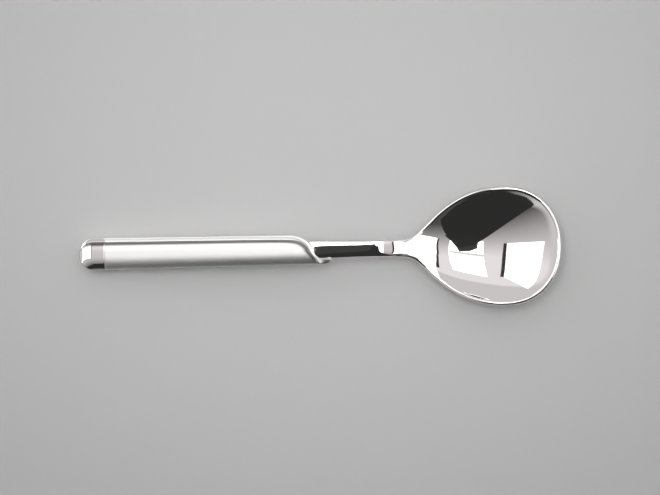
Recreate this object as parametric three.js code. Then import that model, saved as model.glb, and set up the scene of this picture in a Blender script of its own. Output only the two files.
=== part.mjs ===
// Sugar spoon: a forged bowl, neck and tang, cemented into a hollow handle of two pressed half shells that
// a polished cap closes. Millimetres, +Z up, the bowl towards +X, lying on a table at z = 0.
import * as THREE from "three";

// Handle: lengths run from its round end, widths and heights are those of its crowned section
const HANDLE_LENGTH = 65.35; // to the middle of the slanted start of its nose
const HANDLE_WIDTH_REAR = 9.1;
const HANDLE_WIDTH_FRONT = 8.3;
const HANDLE_HEIGHT_REAR = 6.6;
const HANDLE_HEIGHT_FRONT = 6.2;
const HANDLE_CROWN = 1.32; // fall of its top and underside from the middle to the edges
const CROWN_POWER = 3.2;
const EDGE_SQUARENESS = 40; // exponent of the turn from the crown into the upright sides
const HANDLE_TILT = 4.12; // degrees up from the table
const CAP_LENGTH = 7;
const DOME_LENGTH = 4.1;
const DOME_SQUARENESS = 2.4;
const SPIGOT_LENGTH = 4.5;
const SHELL_WALL = 0.8;
const SEAM_GAP = 0.1; // between the two half shells
const CAP_GAP = 0.1; // between the cap and the shells
const FIT_GAP = 0.15; // all round the neck, the tang, the core and the spigot

// Mouth: its rounded nose starts further back on the +Y side and ends in a tongue on the -Y side
const MOUTH_SLANT = 4.15; // run of the nose's start to each side
const MOUTH_BULGE = 1.35; // how far it reaches forward on top and underneath
const NOSE_BACK = 4.4; // length of the nose on the +Y side
const NOSE_TOP = 0.5; // at its shortest, over the top
const TONGUE = 3.6; // how far it grows again along the neck on the -Y side
const MOUTH_LAND = 1; // depth of the edge that fits the neck
const SLANT_RUN = 14; // length over which the slant builds up

// Bead: a raised hem along the +Y edge behind a groove, which both turn across the mouth
const BEAD_HEIGHT = 0.8;
const BEAD_ANGLE = 51; // degrees up from the seam to the groove
const BEAD_RISE = 2.3; // from the groove to its full height
const BEAD_LEAN = 17; // degrees out from upright, in which it is raised
const BEAD_TURN = 2; // softness of the turn at the mouth
const GROOVE_DEPTH = 0.35;
const GROOVE_REACH = 0.35; // to each side of its middle

// Neck and tang: a flat bar with rounded edges
const NECK_WIDTH_REAR = 5;
const NECK_WIDTH_FRONT = 4.05;
const NECK_HEIGHT_REAR = 3;
const NECK_HEIGHT_FRONT = 2.6;
const NECK_TAPER = 21.55; // mouth to the narrowest place
const NECK_SQUARENESS = 4; // exponent of its section
const TANG_LENGTH = 28; // behind the end of the handle
const TANG_WIDTH = 3.4;
const TANG_HEIGHT = 2;
const SHOULDER_LENGTH = 3;
const CORE_END_WALL = 3; // cement behind the tang's end
const CORE_SETBACK = 1; // from the inside of the mouth to the cement

// Side profile: the neck levels out from the handle's tilt and bends down to the steepest place of the heel;
// then come the floor of the bowl and the tip
const LEVEL_BACK = 6; // from where the neck starts to level out to the mouth
const LEVEL_FRONT = 10.65; // mouth to where it is level
const NECK_LENGTH = 15.15; // mouth to where it starts to bend down
const BEND_LENGTH = 15.1;
const HEEL_LENGTH = 18; // steepest place to floor
const HEEL_RISE = 4.47; // of the steepest place over the floor
const HEEL_SLOPE = 0.41; // fall per length there
const FLOOR_RADIUS = 34;
const FLOOR_TO_TIP = 26.4;
const TIP_RISE = 9.4; // of the tip over the floor
const TIP_SLOPE = 0.74; // rise per length there
const TIP_RADIUS = 38;

// Hollow of the bowl, across: it fades in along the heel and flattens towards the tip
const HOLLOW_START = 8.5; // from where the neck starts to bend down
const HOLLOW_RUN = 15;
const HEEL_HOLLOW_RADIUS = 16;
const TIP_HOLLOW_RADIUS = 36;
const SIDE_FULLNESS = 0.18; // how much steeper than a parabola the sides stand

// Bowl outline, seen from above
const BOWL_WIDTH = 34.4;
const BOWL_FRONT = 16.45; // widest place to tip
const BOWL_REAR = 27; // widest place to where the heel's curves would meet
const FRONT_SQUARENESS = 2.17;
const REAR_SQUARENESS = 2.29;
const HEEL_FILLET = 3.36; // softness of the turn from neck to bowl
const BOWL_THICKNESS = 1.2;
const TIP_THICKNESS = 1.44;
const REST_FLAT = 0.2; // depth of the flat under the bowl that it rests on

// Places along the spoon
const LEVEL_FROM = HANDLE_LENGTH - LEVEL_BACK;
const LEVEL_AT = HANDLE_LENGTH + LEVEL_FRONT;
const BEND_AT = HANDLE_LENGTH + NECK_LENGTH;
const HEEL_AT = BEND_AT + BEND_LENGTH;
const FLOOR_AT = HEEL_AT + HEEL_LENGTH;
const LENGTH = FLOOR_AT + FLOOR_TO_TIP;
const NARROWEST_AT = HANDLE_LENGTH + NECK_TAPER;
const HOLLOW_AT = BEND_AT + HOLLOW_START;
const WIDEST_AT = LENGTH - BOWL_FRONT;
const MID_TIP = LENGTH - TIP_THICKNESS / 2;
const TANG_END = HANDLE_LENGTH - TANG_LENGTH;
const SLANT_START = HANDLE_LENGTH - MOUTH_SLANT - SLANT_RUN;
const CORE_FRONT = SLANT_START + SLANT_RUN - MOUTH_LAND - CORE_SETBACK;
const HALF_GIRTH = (Math.PI * (HANDLE_WIDTH_FRONT + HANDLE_HEIGHT_FRONT)) / 4;

const { clamp, degToRad, lerp, smoothstep, smootherstep } = THREE.MathUtils;

function softMax(a, b, softness) {
  return (a + b + Math.hypot(a - b, softness)) / 2;
}

function signedPower(base, exponent) {
  return Math.sign(base) * Math.abs(base) ** exponent;
}

function evenly(from, to, steps) {
  return Array.from({ length: steps + 1 }, (_, i) => lerp(from, to, i / steps));
}

// Side profile

// Smooth run between two ends whose height, slope and bend (one over the radius) are given
function profileRun(s, from, to) {
  const run = to.at - from.at;
  const t = (s - from.at) / run;
  const t3 = t ** 3;
  const t4 = t ** 4;
  const t5 = t ** 5;
  return (
    from.height * (1 - 10 * t3 + 15 * t4 - 6 * t5) +
    from.slope * run * (t - 6 * t3 + 8 * t4 - 3 * t5) +
    (from.bend * run ** 2 * (t ** 2 - 3 * t3 + 3 * t4 - t5)) / 2 +
    (to.bend * run ** 2 * (t3 - 2 * t4 + t5)) / 2 +
    to.slope * run * (7 * t4 - 4 * t3 - 3 * t5) +
    to.height * (10 * t3 - 15 * t4 + 6 * t5)
  );
}

const DOME_STEPS = 6;
const domeTurns = evenly(0, Math.PI / 2, DOME_STEPS).slice(1);
const domeStations = domeTurns.map((turn) => DOME_LENGTH * (1 - Math.cos(turn)));

// Half width and half height of the handle, which closes in the dome at its end
function handleSize(s) {
  const along = (s - CAP_LENGTH) / (HANDLE_LENGTH - CAP_LENGTH);
  const inDome = clamp((DOME_LENGTH - s) / DOME_LENGTH, 0, 1);
  const closing = (1 - inDome ** DOME_SQUARENESS) ** (1 / DOME_SQUARENESS);
  return {
    width: (closing * lerp(HANDLE_WIDTH_REAR, HANDLE_WIDTH_FRONT, along)) / 2,
    height: (closing * lerp(HANDLE_HEIGHT_REAR, HANDLE_HEIGHT_FRONT, along)) / 2,
  };
}

// The straight axis is raised until the lowest ring of the dome lies on the table
const handleRise = Math.tan(degToRad(HANDLE_TILT));
const axisRaise = Math.max(...domeStations.map((s) => handleSize(s).height - handleRise * s));
const floorHeight = BOWL_THICKNESS / 2 - REST_FLAT;

function handleLine(s) {
  return axisRaise + handleRise * s;
}

const levelHeight = handleLine((LEVEL_FROM + LEVEL_AT) / 2);
const handleEnd = { at: LEVEL_FROM, height: handleLine(LEVEL_FROM), slope: handleRise, bend: 0 };
const levelEnd = { at: LEVEL_AT, height: levelHeight, slope: 0, bend: 0 };
const bendEnd = { at: BEND_AT, height: levelHeight, slope: 0, bend: 0 };
const heelEnd = { at: HEEL_AT, height: floorHeight + HEEL_RISE, slope: -HEEL_SLOPE, bend: 0 };
const floorEnd = { at: FLOOR_AT, height: floorHeight, slope: 0, bend: 1 / FLOOR_RADIUS };
const tipEnd = { at: MID_TIP, height: floorHeight + TIP_RISE, slope: TIP_SLOPE, bend: 1 / TIP_RADIUS };

// Height of the middle of the metal along the spoon's axis
function axisHeight(s) {
  if (s <= LEVEL_FROM) {
    return handleLine(s);
  }
  if (s <= LEVEL_AT) {
    return profileRun(s, handleEnd, levelEnd);
  }
  if (s <= BEND_AT) {
    return levelHeight;
  }
  if (s <= HEEL_AT) {
    return profileRun(s, bendEnd, heelEnd);
  }
  if (s <= FLOOR_AT) {
    return profileRun(s, heelEnd, floorEnd);
  }
  return profileRun(s, floorEnd, tipEnd);
}

// Bend of the bowl's middle across the axis
function hollowBend(s) {
  const towardsTip = (s - HOLLOW_AT - HOLLOW_RUN) / (LENGTH - HOLLOW_AT - HOLLOW_RUN);
  const full = lerp(1 / HEEL_HOLLOW_RADIUS, 1 / TIP_HOLLOW_RADIUS, towardsTip);
  return full * smootherstep(s, HOLLOW_AT, HOLLOW_AT + HOLLOW_RUN);
}

// Height of the middle of the metal anywhere
function midHeight(s, y) {
  const fuller = 1 + SIDE_FULLNESS * (y / (BOWL_WIDTH / 2)) ** 2;
  return axisHeight(s) + (hollowBend(s) / 2) * y ** 2 * fuller;
}

// Bowl, neck and tang

function tangShare(s) {
  const shoulder = CORE_FRONT + CORE_SETBACK;
  return 1 - smoothstep(s, shoulder, shoulder + SHOULDER_LENGTH);
}

function neckHalfWidth(s) {
  const neck = lerp(NECK_WIDTH_REAR, NECK_WIDTH_FRONT, smoothstep(s, HANDLE_LENGTH, NARROWEST_AT)) / 2;
  return lerp(neck, TANG_WIDTH / 2, tangShare(s));
}

// Half width of the outline from above, to the outside of the rim
function halfWidth(s) {
  if (s > WIDEST_AT) {
    const ahead = Math.min((s - WIDEST_AT) / BOWL_FRONT, 1);
    return (BOWL_WIDTH / 2) * (1 - ahead ** FRONT_SQUARENESS) ** (1 / FRONT_SQUARENESS);
  }
  const neck = neckHalfWidth(s);
  const half = BOWL_WIDTH / 2;
  const widest = half - HEEL_FILLET ** 2 / (4 * (half - neck));
  const bowl = widest * (1 - ((WIDEST_AT - s) / BOWL_REAR) ** REAR_SQUARENESS);
  return softMax(bowl, neck, HEEL_FILLET);
}

function halfThickness(s) {
  const neck = lerp(NECK_HEIGHT_REAR, NECK_HEIGHT_FRONT, smoothstep(s, HANDLE_LENGTH, NARROWEST_AT)) / 2;
  const bar = lerp(neck, TANG_HEIGHT / 2, tangShare(s));
  const bowl = lerp(BOWL_THICKNESS, TIP_THICKNESS, smootherstep(s, FLOOR_AT, LENGTH)) / 2;
  return lerp(bar, bowl, smootherstep(s, NARROWEST_AT, FLOOR_AT));
}

// Half width of the middle of the metal: the rim's rounding stands outside it
function midHalfWidth(s) {
  if (s > WIDEST_AT) {
    const ahead = Math.min((s - WIDEST_AT) / (MID_TIP - WIDEST_AT), 1);
    const closing = (1 - ahead ** FRONT_SQUARENESS) ** (1 / FRONT_SQUARENESS);
    return (BOWL_WIDTH / 2 - halfThickness(WIDEST_AT)) * closing;
  }
  return halfWidth(s) - halfThickness(s);
}

const SLOPE_STEP = 1e-3;

function midNormal(s, y) {
  const ahead = midHeight(s + SLOPE_STEP, y) - midHeight(s - SLOPE_STEP, y);
  const aside = midHeight(s, y + SLOPE_STEP) - midHeight(s, y - SLOPE_STEP);
  return new THREE.Vector3(-ahead, -aside, 2 * SLOPE_STEP).normalize();
}

// Direction out of the outline on the given side, laid into the surface
function rimOutward(s, side, normal) {
  const outward = new THREE.Vector3(1, 0, 0);
  if (s < MID_TIP) {
    outward.set((midHalfWidth(s - SLOPE_STEP) - midHalfWidth(s + SLOPE_STEP)) / (2 * SLOPE_STEP), side, 0);
  }
  return outward.addScaledVector(normal, -outward.dot(normal)).normalize();
}

const ACROSS_STEPS = 20;
const EDGE_STEPS = 6;
const EDGE_SHARE = 0.11; // of the bar's half turn, in its edge on each side
const acrossShares = evenly(-1, 1, ACROSS_STEPS);
const edgeShares = evenly(-1, 1, EDGE_STEPS).slice(1, -1);

// Point of the bar's rounded section with a gap round it, at a share of the half turn from the +Y side; up
// is 1 over the top and -1 underneath
function barPoint(s, share, up, gap, seam) {
  const turn = Math.PI * share;
  const y = (halfWidth(s) + gap) * signedPower(Math.cos(turn), 2 / NECK_SQUARENESS);
  const z = (halfThickness(s) + gap) * Math.max(Math.sin(turn), 0) ** (2 / NECK_SQUARENESS);
  return new THREE.Vector3(s, y, axisHeight(s) + up * Math.max(z, seam));
}

// One closed section: top from +Y to -Y, edge, underside back again, edge. It changes along the heel from
// the neck's bar to a sheet of even thickness with a full round rim
function bladeSection(s) {
  const half = midHalfWidth(s);
  const thick = halfThickness(s);
  const sheetShare = smootherstep(s, NARROWEST_AT, HOLLOW_AT + HOLLOW_RUN);
  const section = [];
  const addPoint = (barShare, up, sheetPoint) => {
    section.push(barPoint(s, barShare, up, 0, 0).lerp(sheetPoint, sheetShare));
  };
  for (const top of [1, -1]) {
    for (const share of acrossShares) {
      const y = -top * share * half;
      const place = new THREE.Vector3(s, y, midHeight(s, y));
      const sheetPoint = place.addScaledVector(midNormal(s, y), top * thick);
      addPoint(0.5 + top * share * (0.5 - EDGE_SHARE), top, sheetPoint);
    }
    const edge = new THREE.Vector3(s, -top * half, midHeight(s, half));
    const normal = midNormal(s, -top * half);
    const outward = rimOutward(s, -top, normal);
    for (const share of edgeShares) {
      const turn = (Math.PI / 2) * (1 + share);
      const sheetPoint = edge.clone().addScaledVector(normal, top * thick * Math.cos(turn));
      sheetPoint.addScaledVector(outward, thick * Math.sin(turn));
      const fromSide = EDGE_SHARE * Math.abs(share);
      addPoint(top > 0 ? 1 - fromSide : fromSide, share < 0 ? top : -top, sheetPoint);
    }
  }
  section.forEach((point) => point.setZ(Math.max(point.z, 0)));
  return section;
}

// Meshes from rings of points

function centreOf(ring) {
  const sum = ring.reduce((total, point) => total.add(point), new THREE.Vector3());
  return sum.divideScalar(ring.length);
}

// Closed body from triangles given as corner points: equal corners are shared, and it is turned outside out
function bodyOf(triangles) {
  const places = new Map();
  const positions = [];
  const numberOf = (point) => {
    const key = point.toArray().map((value) => value.toFixed(4)).join(" ");
    if (!places.has(key)) {
      places.set(key, places.size);
      positions.push(point.x, point.y, point.z);
    }
    return places.get(key);
  };
  const volume = triangles.reduce((sum, [a, b, c]) => sum + a.dot(b.clone().cross(c)), 0);
  const index = [];
  for (const corners of triangles) {
    const [a, b, c] = corners.map(numberOf);
    if (a !== b && b !== c && c !== a) {
      index.push(...(volume > 0 ? [a, b, c] : [a, c, b]));
    }
  }
  const geometry = new THREE.BufferGeometry();
  geometry.setAttribute("position", new THREE.Float32BufferAttribute(positions, 3));
  geometry.setIndex(index);
  geometry.computeVertexNormals();
  return geometry;
}

function quad(a, b, c, d) {
  return [
    [a, b, c],
    [a, c, d],
  ];
}

// Skin between successive closed rings of equal count
function skin(rings) {
  const triangles = [];
  for (let i = 1; i < rings.length; i += 1) {
    const count = rings[i].length;
    for (let j = 0; j < count; j += 1) {
      const next = (j + 1) % count;
      triangles.push(...quad(rings[i - 1][j], rings[i - 1][next], rings[i][next], rings[i][j]));
    }
  }
  return triangles;
}

// Fan that closes a ring; the first ring of a skin is closed the other way round from the last
function fan(ring, centre, first) {
  return ring.map((point, j) => {
    const next = ring[(j + 1) % ring.length];
    return first ? [centre, next, point] : [centre, point, next];
  });
}

// Strip that closes a ring whose second half runs back beside its first
function strip(ring, first) {
  const triangles = [];
  const last = ring.length - 1;
  for (let j = 0; j < last / 2 - 1; j += 1) {
    const [a, b, c, d] = [ring[j], ring[j + 1], ring[last - j - 1], ring[last - j]];
    triangles.push(...(first ? quad(d, c, b, a) : quad(a, b, c, d)));
  }
  return triangles;
}

// Handle sections

// Half turn from the +Y seam over the top, as shares from 0 to 1, closest at the groove; plain underneath
const SHARE_SPREAD = 0.714; // power that spreads the shares over the width
const BEAD_STEPS = 5;
const CROWN_STEPS = 13;
const LOWER_STEPS = 10;
const grooveShare = BEAD_ANGLE / 180;
const grooveReach = GROOVE_REACH / HALF_GIRTH;
const UPPER_SHARES = [
  ...evenly(0, grooveShare - grooveReach, BEAD_STEPS),
  grooveShare,
  ...evenly(grooveShare + grooveReach, 1, CROWN_STEPS),
];
const LOWER_SHARES = evenly(0, 1, LOWER_STEPS);
const BEAD_SEAM_SHARE = 0.06; // the bead rises from the seam within this share
const BEAD_FADE = [0.6, 0.9]; // and dies out on the far side between these

const NOSE_SHORTEST_SHARE = 0.72; // the nose is shortest from here
const TONGUE_SHARE = 0.82; // and the tongue grows out from here

function noseStart(share) {
  const turn = Math.PI * share;
  return HANDLE_LENGTH - MOUTH_SLANT * Math.cos(turn) + MOUTH_BULGE * Math.sin(turn);
}

// Over the top the nose shortens and then runs out into the tongue; underneath it changes evenly
function noseLength(share, up) {
  if (up < 0) {
    return lerp(NOSE_BACK, NOSE_TOP + TONGUE, share);
  }
  const shortening = lerp(NOSE_BACK, NOSE_TOP, smoothstep(share, 0, NOSE_SHORTEST_SHARE));
  return shortening + TONGUE * smoothstep(share, TONGUE_SHARE, 1);
}

// How far the bead stands proud, or the groove lies in, from the distances to the seam edge and to the mouth
function beadLift(s, share) {
  const toEdge = (grooveShare - share) * HALF_GIRTH;
  const toMouth = s - noseStart(share);
  const inside = softMax(toEdge, toMouth, BEAD_TURN);
  const fade = smoothstep(share, 0, BEAD_SEAM_SHARE) * (1 - smoothstep(share, ...BEAD_FADE));
  const groove = Math.max(1 - (inside / GROOVE_REACH) ** 2, 0) ** 2;
  return fade * (BEAD_HEIGHT * smoothstep(inside, 0, BEAD_RISE) - GROOVE_DEPTH * groove);
}

// Point of the handle's section, drawn in by an inset and raised by a lift: a power curve over the top and a
// superellipse that turns it into the upright sides. Up is 1 for the upper half, -1 for the lower
function handlePoint(s, share, up, inset, lift, seam) {
  const half = handleSize(s);
  const turn = Math.PI * share;
  const width = half.width - inset;
  const height = half.height - inset - seam;
  const lean = degToRad(BEAD_LEAN);
  const across = signedPower(Math.cos(turn), SHARE_SPREAD);
  const crown = 1 - (HANDLE_CROWN / (HANDLE_HEIGHT_REAR / 2)) * Math.abs(across) ** CROWN_POWER;
  const edge = (1 - Math.abs(across) ** EDGE_SQUARENESS) ** (1 / EDGE_SQUARENESS);
  const y = width * across + lift * Math.sin(lean);
  const z = seam + height * crown * edge + lift * Math.cos(lean);
  return new THREE.Vector3(s, y, axisHeight(s) + up * z);
}

// Both halves of a closed ring round the handle's axis
function wholeRing(pointAt) {
  const upper = UPPER_SHARES.map((share) => pointAt(share, 1));
  const lower = LOWER_SHARES.slice(1, -1).map((share) => pointAt(1 - share, -1));
  return [...upper, ...lower];
}

// The four pieces of the handle

const BODY_STEPS = 5;
const RUN_SHARES = [0.3, 0.55, 0.7, 0.8, 0.88, 0.94, 0.97];
const NOSE_STEPS = 6;

// Half shell: each row is a C-shaped ring, outside over and inside back, from the cap to the mouth
function shellGeometry(up, shares, beaded) {
  const seam = SEAM_GAP / 2;
  const rearEnd = CAP_LENGTH + CAP_GAP;
  const bodyPoint = (s, share, inset) => {
    const lift = beaded && inset === 0 ? beadLift(s, share) : 0;
    return handlePoint(s, share, up, inset, lift, seam);
  };
  const rows = [];
  const addRow = (outside, inside) => {
    rows.push([...shares.map(outside), ...shares.map(inside).reverse()]);
  };
  for (const s of evenly(rearEnd, SLANT_START, BODY_STEPS)) {
    addRow(
      (share) => bodyPoint(s, share, 0),
      (share) => bodyPoint(s, share, SHELL_WALL),
    );
  }
  for (const run of RUN_SHARES) {
    addRow(
      (share) => bodyPoint(lerp(SLANT_START, noseStart(share), run), share, 0),
      (share) => bodyPoint(lerp(SLANT_START, noseStart(share) - MOUTH_LAND, run), share, SHELL_WALL),
    );
  }
  for (let i = 0; i <= NOSE_STEPS; i += 1) {
    const turn = (Math.PI / 2) * (i / NOSE_STEPS);
    const nosePoint = (share, inset, setback) => {
      const s = noseStart(share) - setback + noseLength(share, up) * Math.sin(turn);
      const lift = beaded && inset === 0 ? beadLift(s, share) * Math.cos(turn) : 0;
      const open = handlePoint(s, share, up, inset, lift, seam);
      return open.lerp(barPoint(s, share, up, FIT_GAP, seam), 1 - Math.cos(turn));
    };
    addRow(
      (share) => nosePoint(share, 0, 0),
      (share) => nosePoint(share, SHELL_WALL, MOUTH_LAND),
    );
  }
  return bodyOf([...strip(rows[0], true), ...skin(rows), ...strip(rows.at(-1), false)]);
}

// Cap: dome, short barrel, then the spigot stepped in by the shells' wall
function capGeometry() {
  const inset = SHELL_WALL + FIT_GAP;
  const outerRing = (s) => {
    const size = handleSize(s).height / (HANDLE_HEIGHT_REAR / 2);
    return wholeRing((share, up) => handlePoint(s, share, up, 0, up > 0 ? size * beadLift(s, share) : 0, 0));
  };
  const spigotRing = (s) => wholeRing((share, up) => handlePoint(s, share, up, inset, 0, 0));
  const rings = [...domeStations, CAP_LENGTH].map(outerRing);
  rings.push(spigotRing(CAP_LENGTH), spigotRing(CAP_LENGTH + SPIGOT_LENGTH));
  const pole = new THREE.Vector3(0, 0, axisHeight(0));
  const end = rings.at(-1);
  return bodyOf([...fan(rings[0], pole, true), ...skin(rings), ...fan(end, centreOf(end), false)]);
}

// Cement plug that fills the shells round the tang, with the pocket that the tang sits in
function coreGeometry() {
  const inset = SHELL_WALL + FIT_GAP;
  const outerRing = (s) => wholeRing((share, up) => handlePoint(s, share, up, inset, 0, 0));
  const pocketRing = (s) => wholeRing((share, up) => barPoint(s, share, up, FIT_GAP, 0));
  const rings = [
    outerRing(TANG_END - CORE_END_WALL),
    outerRing(CORE_FRONT),
    pocketRing(CORE_FRONT),
    pocketRing(TANG_END - FIT_GAP),
  ];
  const rear = rings[0];
  const pocketEnd = rings.at(-1);
  return bodyOf([
    ...fan(rear, centreOf(rear), true),
    ...skin(rings),
    ...fan(pocketEnd, centreOf(pocketEnd), false),
  ]);
}

const TANG_STEPS = 2;
const LEVEL_STEPS = 6;
const HEEL_STEPS = 21;
const FLOOR_STEPS = 6;
const FRONT_STEPS = 10;

// Bowl, neck and tang in one loft: sections close up towards the tip, where the two rims meet
function bladeGeometry() {
  const shoulder = CORE_FRONT + CORE_SETBACK;
  const front = evenly(0, Math.PI / 2, FRONT_STEPS).map((turn) => {
    return WIDEST_AT + (MID_TIP - WIDEST_AT) * Math.sin(turn) ** (2 / FRONT_SQUARENESS);
  });
  const stations = [
    ...evenly(TANG_END, shoulder, TANG_STEPS),
    ...evenly(shoulder, LEVEL_AT, LEVEL_STEPS).slice(1),
    BEND_AT,
    ...evenly(BEND_AT, FLOOR_AT, HEEL_STEPS).slice(1),
    ...evenly(FLOOR_AT, WIDEST_AT, FLOOR_STEPS).slice(1),
    ...front.slice(1, -1),
    MID_TIP,
  ];
  const rings = stations.map(bladeSection);
  return bodyOf([...fan(rings[0], centreOf(rings[0]), true), ...skin(rings)]);
}

// Finishes

function polishedSteel() {
  return new THREE.MeshStandardMaterial({ color: 0xd2cecb, roughness: 0.06, metalness: 1 });
}

function satinSteel() {
  return new THREE.MeshStandardMaterial({ color: 0xcfcfcd, roughness: 0.38, metalness: 1 });
}

function cement() {
  return new THREE.MeshStandardMaterial({ color: 0xb9b2a6, roughness: 0.9, metalness: 0 });
}

// Assembly

function piece(name, geometry, material) {
  const mesh = new THREE.Mesh(geometry, material);
  mesh.name = name;
  return mesh;
}

const spoon = new THREE.Group();
spoon.position.x = -LENGTH / 2;
spoon.add(
  piece("bowl_and_neck", bladeGeometry(), polishedSteel()),
  piece("handle_upper_shell", shellGeometry(1, UPPER_SHARES, true), satinSteel()),
  piece("handle_lower_shell", shellGeometry(-1, LOWER_SHARES, false), satinSteel()),
  piece("end_cap", capGeometry(), polishedSteel()),
  piece("handle_core", coreGeometry(), cement()),
);

const sugarSpoon = new THREE.Group();
sugarSpoon.add(spoon);

export default sugarSpoon;
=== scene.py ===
# A sugar spoon lying on a table: a mirror-polished bowl and neck, set into a hollow satin handle.
import bmesh
import bpy
import numpy as np
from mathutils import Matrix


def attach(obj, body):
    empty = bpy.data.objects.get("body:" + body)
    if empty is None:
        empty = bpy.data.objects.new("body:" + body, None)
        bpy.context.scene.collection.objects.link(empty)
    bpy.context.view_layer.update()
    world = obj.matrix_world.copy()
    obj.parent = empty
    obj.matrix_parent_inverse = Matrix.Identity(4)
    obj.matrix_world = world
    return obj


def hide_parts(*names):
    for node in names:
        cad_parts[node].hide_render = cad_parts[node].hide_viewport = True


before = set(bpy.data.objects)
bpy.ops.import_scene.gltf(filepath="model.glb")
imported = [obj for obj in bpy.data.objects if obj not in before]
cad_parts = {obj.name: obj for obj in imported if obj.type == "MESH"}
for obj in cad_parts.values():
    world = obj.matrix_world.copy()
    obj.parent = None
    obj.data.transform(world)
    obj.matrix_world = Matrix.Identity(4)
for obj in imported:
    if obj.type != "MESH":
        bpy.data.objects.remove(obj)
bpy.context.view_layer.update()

# Bowl, neck and tang
# One stainless steel forging: a round bowl with a rounded rim, a flat arched neck and a tang that is cemented
# into the handle. It is ground and then buffed to a mirror. Sizes here and below are millimetres, and s is
# the distance along the spoon from the round end of its handle.
MM = 0.001
HANDLE_LENGTH = 65.35  # to the middle of the handle's slanted mouth
HANDLE_TILT = 4.12  # degrees up from the table
AXIS_AT_END = 3.05  # height of the handle's axis at its round end
LEVEL_RUN = (-6, 10.65)  # from the mouth: where the neck levels out from the handle's tilt
NECK_LENGTH = 15.15  # mouth to where it bends down
BEND_LENGTH = 15.1  # on to the steepest place of the heel
HEEL_LENGTH = 18  # on to the floor of the bowl
HEEL_RISE = 4.47  # of the steepest place over the floor
HEEL_SLOPE = 0.41  # fall per length there
FLOOR_RADIUS = 34
FLOOR_TO_TIP = 26.4  # along the spoon
TIP_RISE = 9.4  # of the tip over the floor
TIP_SLOPE = 0.74  # rise per length there
TIP_RADIUS = 38
HOLLOW_START = 8.5  # from the bend to where the bowl starts to be hollow across
HOLLOW_RUN = 15  # over which it deepens
HOLLOW_RADII = (16, 36)  # across, at the heel and at the tip
SIDE_FULLNESS = 0.18  # how much steeper than a parabola the sides stand
BOWL_WIDTH = 34.4
BOWL_FRONT = 16.45  # widest place to tip
BOWL_REAR = 27  # widest place to where the heel's curves would meet
FRONT_SQUARENESS = 2.17  # exponent of the outline ahead of the widest place
REAR_SQUARENESS = 2.29  # and behind it
HEEL_FILLET = 3.36  # softness of the turn from neck to bowl
BOWL_THICKNESSES = (1.2, 1.44)  # at the floor and at the tip
RIM_SQUARENESS = 2.6  # exponent of the rim's rounding
REST_FLAT = 0.2  # depth of the flat under the bowl
NECK_WIDTHS = (5.4, 4.5)  # at the mouth and at the narrowest place
NECK_HEIGHTS = (3.0, 2.6)  # at the same places
NECK_TAPER = 21.55  # mouth to the narrowest place
NECK_SQUARENESS = 4  # exponent of its section
TANG_LENGTH = 28
TANG_WIDTH = 3.4
TANG_HEIGHT = 2
TANG_SHOULDER = (60.2, 63.2)  # where the tang widens into the neck
SHEET_START = 2  # from the narrowest place to where the bar begins to turn into a sheet
SHEET_END = 9  # from where the bowl starts to be hollow to where it is all sheet

LEVEL_FROM = HANDLE_LENGTH + LEVEL_RUN[0]
LEVEL_AT = HANDLE_LENGTH + LEVEL_RUN[1]
BEND_AT = HANDLE_LENGTH + NECK_LENGTH
HEEL_AT = BEND_AT + BEND_LENGTH
FLOOR_AT = HEEL_AT + HEEL_LENGTH
LENGTH = FLOOR_AT + FLOOR_TO_TIP
NARROWEST_AT = HANDLE_LENGTH + NECK_TAPER
HOLLOW_AT = (BEND_AT + HOLLOW_START, BEND_AT + HOLLOW_START + HOLLOW_RUN)
WIDEST_AT = LENGTH - BOWL_FRONT
MID_TIP = LENGTH - BOWL_THICKNESSES[1] / 2
TANG_END = HANDLE_LENGTH - TANG_LENGTH
HANDLE_RISE = np.tan(np.radians(HANDLE_TILT))
LEVEL_HEIGHT = AXIS_AT_END + HANDLE_RISE * (LEVEL_FROM + LEVEL_AT) / 2
FLOOR_HEIGHT = BOWL_THICKNESSES[0] / 2 - REST_FLAT

# Ends of the side profile's runs: place, height, slope and bend, which is one over the radius
HANDLE_END = (LEVEL_FROM, AXIS_AT_END + HANDLE_RISE * LEVEL_FROM, HANDLE_RISE, 0)
LEVEL_END = (LEVEL_AT, LEVEL_HEIGHT, 0, 0)
BEND_END = (BEND_AT, LEVEL_HEIGHT, 0, 0)
HEEL_END = (HEEL_AT, FLOOR_HEIGHT + HEEL_RISE, -HEEL_SLOPE, 0)
FLOOR_END = (FLOOR_AT, FLOOR_HEIGHT, 0, 1 / FLOOR_RADIUS)
TIP_END = (MID_TIP, FLOOR_HEIGHT + TIP_RISE, TIP_SLOPE, 1 / TIP_RADIUS)


def lerp(start, end, share):
    """Straight line from start to end."""
    return start + (end - start) * share


def smoothstep(value, low, high):
    """Climbs from 0 at low to 1 at high, as 3 t squared less 2 t cubed."""
    t = np.clip((value - low) / (high - low), 0, 1)
    return t * t * (3 - 2 * t)


def smootherstep(value, low, high):
    """Climbs from 0 at low to 1 at high with no bend at either end, as 6 t^5 - 15 t^4 + 10 t^3."""
    t = np.clip((value - low) / (high - low), 0, 1)
    return t**3 * (6 * t**2 - 15 * t + 10)


def soft_max(a, b, softness):
    """Larger of two values along a hyperbola: their mean plus half the hypotenuse of their difference."""
    return (a + b + np.hypot(a - b, softness)) / 2


def rounded_max(a, b, reach):
    """Larger of two values, with a parabola over the corner where they are closer than reach."""
    return np.maximum(a, b) + np.maximum(reach - np.abs(a - b), 0) ** 2 / (4 * reach)


def signed_power(base, exponent):
    """Power of a number's size, with the number's own sign."""
    return np.sign(base) * np.abs(base) ** exponent


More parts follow.
